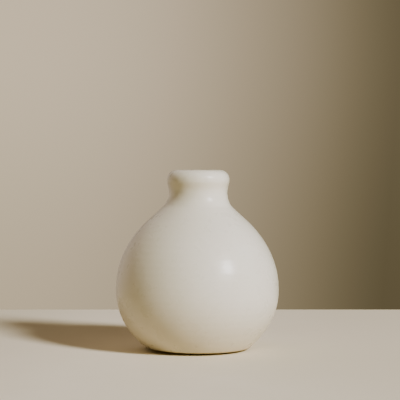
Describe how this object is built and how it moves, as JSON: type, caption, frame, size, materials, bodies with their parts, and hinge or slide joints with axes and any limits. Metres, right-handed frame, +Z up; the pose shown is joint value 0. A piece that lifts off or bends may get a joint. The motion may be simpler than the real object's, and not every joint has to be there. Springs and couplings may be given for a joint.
{
  "type": "bud vase",
  "caption": "Small round vase for a single stem: bulbous body, short waisted neck and thick rolled rim, open at the mouth, in satin-glazed stoneware on felt pads.",
  "frame": {"origin": "centre of the footprint, on the table under the felt pads", "axes": "+Z up along the vase's axis; the vase is round, so +X and +Y are only marked by the pads, which sit on them"},
  "size_m": [0.1038, 0.1038, 0.114],
  "materials": {
    "stoneware": "bare fired clay, dry and slightly gritty",
    "satin_glaze": "satin, warm white",
    "liner_glaze": "semi-gloss, warm white",
    "felt": "pressed felt, dark brown"
  },
  "bodies": {
    "root": {"clay_body": "stoneware", "outer_glaze": "satin_glaze", "liner_glaze": "liner_glaze", "felt_pad_front": "felt", "felt_pad_back": "felt", "felt_pad_left": "felt", "felt_pad_right": "felt"}
  },
  "joints": []
}
